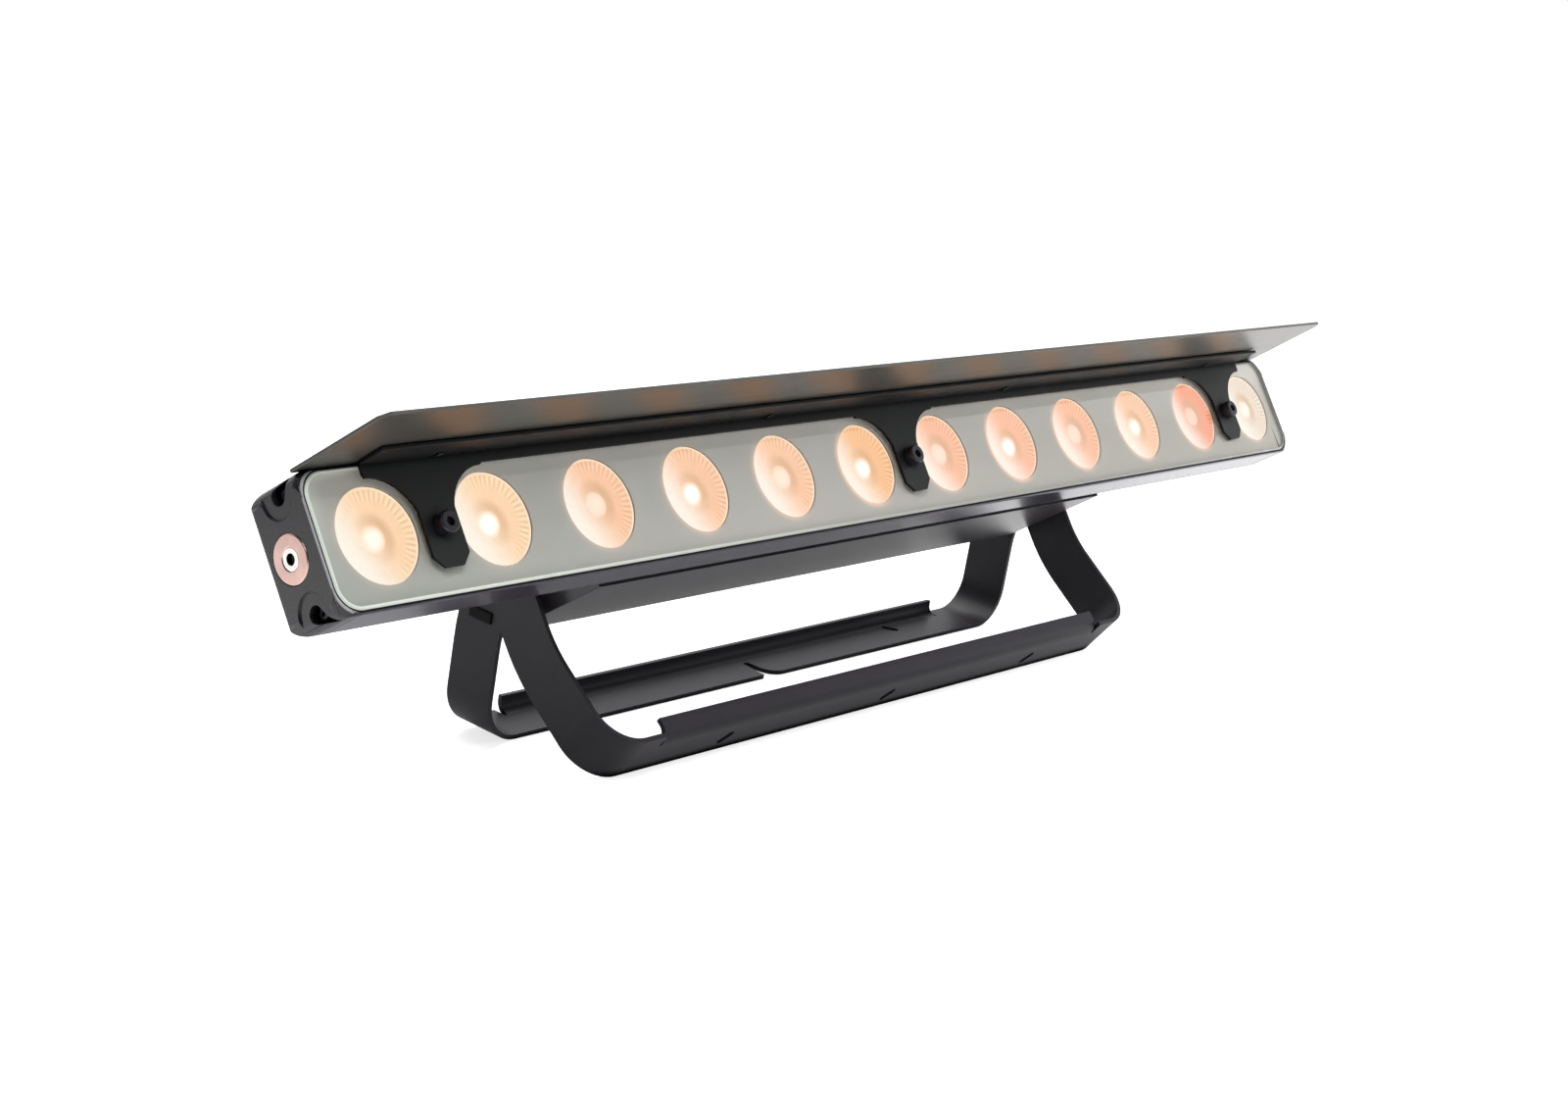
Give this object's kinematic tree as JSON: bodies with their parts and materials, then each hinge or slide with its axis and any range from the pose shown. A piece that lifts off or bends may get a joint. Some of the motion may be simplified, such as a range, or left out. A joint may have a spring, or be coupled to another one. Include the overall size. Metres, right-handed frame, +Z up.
{
  "type": "led strip batten",
  "caption": "Long stage light bar with a row of round lens cells behind flat glass, a top shield, a rear driver box and two folding yokes that stand on the floor.",
  "frame": {"origin": "on the floor under the middle of the batten's bounding box, as it stands on its two feet", "axes": "+X along the bar, +Y towards the back where the driver box is, +Z up"},
  "size_m": [1.0008, 0.1718, 0.2418],
  "materials": {
    "housing_extrusion": "black anodised, fine satin",
    "left_end_cap": "black paint, fine texture",
    "right_end_cap": "black paint, fine texture",
    "left_magnet_disc": "nickel plated",
    "right_magnet_disc": "nickel plated",
    "magnet_screws": "zinc plated",
    "end_cap_screws": "black oxide",
    "front_glass": "flat toughened glass, polished edge",
    "glass_gasket": "matt black",
    "window_mask": "grey printed film",
    "lenses": "warm lit, moulded",
    "lens_holders": "white",
    "led_board": "white solder mask",
    "led_emitters": "clear dome over phosphor",
    "board_screws": "zinc plated",
    "shield_posts": "turned",
    "post_seals": "matt black",
    "shield_bracket": "black paint, satin",
    "shield_flap": "dark paint, satin",
    "shield_rivets": "dull",
    "shield_screws": "black oxide",
    "chassis_tray": "black paint, satin",
    "tray_screws": "zinc plated",
    "driver_box_shell": "black paint, fine texture",
    "left_box_end": "black paint, fine texture",
    "right_box_end": "black paint, fine texture",
    "box_screws": "black oxide",
    "power_supply": "plain sheet cage",
    "driver_board": "green solder mask",
    "control_board": "green solder mask",
    "display_window": "dark tinted",
    "menu_button": "satin",
    "down_button": "satin",
    "up_button": "satin",
    "enter_button": "satin",
    "power_inlet": "blue",
    "power_outlet": "light grey",
    "data_inlet": "nickel plated",
    "data_outlet": "nickel plated",
    "connector_screws": "zinc plated",
    "fuse_holder": "black",
    "vent_plug": "black",
    "wiring_harness": "red sleeved",
    "safety_eye": "zinc plated",
    "left_pivot_stud": "turned",
    "right_pivot_stud": "turned",
    "inner_friction_washers": "matt black",
    "outer_friction_washers": "matt black",
    "knob_washers": "zinc plated",
    "left_lock_knob": "black",
    "right_lock_knob": "black",
    "front_yoke": "charcoal paint, matt",
    "rear_yoke": "charcoal paint, matt",
    "arm_buffers": "matt black"
  },
  "bodies": {
    "fixture": {"housing_extrusion": "housing_extrusion", "left_end_cap": "left_end_cap", "right_end_cap": "right_end_cap", "left_magnet_disc": "left_magnet_disc", "right_magnet_disc": "right_magnet_disc", "magnet_screws": "magnet_screws", "end_cap_screws": "end_cap_screws", "front_glass": "front_glass", "glass_gasket": "glass_gasket", "window_mask": "window_mask", "lenses": "lenses", "lens_holders": "lens_holders", "led_board": "led_board", "led_emitters": "led_emitters", "board_screws": "board_screws", "shield_posts": "shield_posts", "post_seals": "post_seals", "shield_bracket": "shield_bracket", "shield_flap": "shield_flap", "shield_rivets": "shield_rivets", "shield_screws": "shield_screws", "chassis_tray": "chassis_tray", "tray_screws": "tray_screws", "driver_box_shell": "driver_box_shell", "left_box_end": "left_box_end", "right_box_end": "right_box_end", "box_screws": "box_screws", "power_supply": "power_supply", "driver_board": "driver_board", "control_board": "control_board", "display_window": "display_window", "power_inlet": "power_inlet", "power_outlet": "power_outlet", "data_inlet": "data_inlet", "data_outlet": "data_outlet", "connector_screws": "connector_screws", "fuse_holder": "fuse_holder", "vent_plug": "vent_plug", "wiring_harness": "wiring_harness", "safety_eye": "safety_eye", "left_pivot_stud": "left_pivot_stud", "right_pivot_stud": "right_pivot_stud", "inner_friction_washers": "inner_friction_washers", "outer_friction_washers": "outer_friction_washers", "knob_washers": "knob_washers"},
    "front_yoke": {"front_yoke": "front_yoke"},
    "rear_yoke": {"rear_yoke": "rear_yoke", "arm_buffers": "arm_buffers"},
    "left_knob": {"left_lock_knob": "left_lock_knob"},
    "right_knob": {"right_lock_knob": "right_lock_knob"},
    "menu_key": {"menu_button": "menu_button"},
    "down_key": {"down_button": "down_button"},
    "up_key": {"up_button": "up_button"},
    "enter_key": {"enter_button": "enter_button"}
  },
  "joints": [
    {"name": "front_yoke_swing", "type": "hinge", "parent": "fixture", "child": "front_yoke", "pos_m": [0, 0.03687, 0.11993], "axis": [1, 0, 0], "range_deg": [-30, 25]},
    {"name": "rear_yoke_swing", "type": "hinge", "parent": "fixture", "child": "rear_yoke", "pos_m": [0, 0.03687, 0.11993], "axis": [1, 0, 0], "range_deg": [-20, 100]},
    {"name": "left_knob_turn", "type": "hinge", "parent": "fixture", "child": "left_knob", "pos_m": [-0.293, 0.03687, 0.11993], "axis": [-1, 0, 0], "range_deg": [0, 180]},
    {"name": "right_knob_turn", "type": "hinge", "parent": "fixture", "child": "right_knob", "pos_m": [0.293, 0.03687, 0.11993], "axis": [1, 0, 0], "range_deg": [0, 180]},
    {"name": "menu_press", "type": "slide", "parent": "fixture", "child": "menu_key", "axis": [0, -0.8625, 0.506], "range_m": [0, 0.0008]},
    {"name": "down_press", "type": "slide", "parent": "fixture", "child": "down_key", "axis": [0, -0.8625, 0.506], "range_m": [0, 0.0008]},
    {"name": "up_press", "type": "slide", "parent": "fixture", "child": "up_key", "axis": [0, -0.8625, 0.506], "range_m": [0, 0.0008]},
    {"name": "enter_press", "type": "slide", "parent": "fixture", "child": "enter_key", "axis": [0, -0.8625, 0.506], "range_m": [0, 0.0008]}
  ]
}
